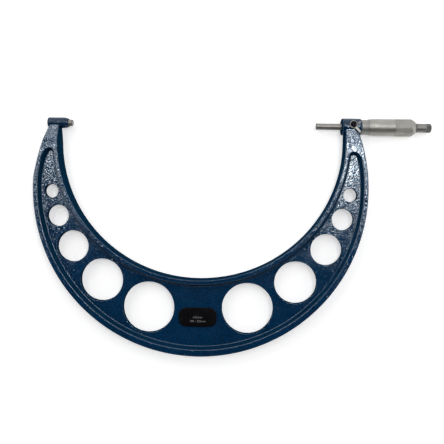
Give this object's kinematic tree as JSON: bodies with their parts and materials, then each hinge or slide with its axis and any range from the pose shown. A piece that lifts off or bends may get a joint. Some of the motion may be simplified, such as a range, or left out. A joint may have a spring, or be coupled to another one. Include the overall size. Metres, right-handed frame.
{
  "type": "outside micrometer",
  "caption": "Outside micrometer with a pierced I-section bow, a screw-driven spindle, knurled thimble, ratchet knob and spindle lock lever, lying on its back.",
  "frame": {"origin": "centre of the anvil's measuring face, on the measuring axis", "axes": "+X along the measuring axis from the anvil towards the ratchet, -Y towards the bottom of the bow, +Z out of the front, where the range plate and the lock lever are"},
  "size_m": [0.4862, 0.2947, 0.0262],
  "materials": {
    "blue_hammer_enamel": "dark blue hammered enamel, glossy",
    "satin_chrome": "satin chrome plating",
    "ground_steel": "ground and hardened steel",
    "carbide": "lapped hard metal",
    "black_oxide": "blackened steel",
    "black_plate": "satin black",
    "bronze": "turned bronze"
  },
  "bodies": {
    "frame": {"frame": "blue_hammer_enamel", "anvil": "ground_steel", "anvil_face": "carbide", "inner_sleeve": "ground_steel", "adjusting_nut": "bronze", "lock_bush": "bronze", "lock_washer": "ground_steel", "sleeve_set_screw": "ground_steel", "range_plate": "black_plate"},
    "sleeve": {"graduated_sleeve": "satin_chrome"},
    "spindle": {"spindle": "ground_steel", "spindle_face": "carbide"},
    "thimble": {"thimble": "satin_chrome", "ratchet_base": "ground_steel"},
    "ratchet": {"ratchet_knob": "satin_chrome", "ratchet_screw": "black_oxide", "ratchet_spring": "ground_steel"},
    "crown": {"ratchet_crown": "ground_steel"},
    "lock": {"lock_lever": "satin_chrome", "lock_pin": "ground_steel", "lock_screw": "black_oxide"}
  },
  "joints": [
    {"name": "sleeve_zero", "type": "hinge", "parent": "frame", "child": "sleeve", "pos_m": [0.3555, 0, 0], "axis": [1, 0, 0], "range_deg": [-20, 20]},
    {"name": "spindle_travel", "type": "slide", "parent": "frame", "child": "spindle", "axis": [1, 0, 0], "range_m": [0, 0.025]},
    {"name": "thimble_turn", "type": "hinge", "parent": "spindle", "child": "thimble", "pos_m": [0.3647, 0, 0], "axis": [1, 0, 0], "range_deg": [0, 18000]},
    {"name": "ratchet_turn", "type": "hinge", "parent": "thimble", "child": "ratchet", "pos_m": [0.4236, 0, 0], "axis": [1, 0, 0], "continuous": true},
    {"name": "ratchet_click", "type": "slide", "parent": "ratchet", "child": "crown", "axis": [1, 0, 0], "range_m": [0, 0.0009], "stiffness_N_per_m": 900, "springref_m": -0.001, "deforming": ["ratchet_spring"]},
    {"name": "lock_turn", "type": "hinge", "parent": "frame", "child": "lock", "pos_m": [0.344, 0.0016, 0], "axis": [0, 0, 1], "range_deg": [-60, 15]}
  ],
  "couplings": [
    {"joint": "thimble_turn", "follows": "spindle_travel", "rad_per_m": 12566}
  ]
}
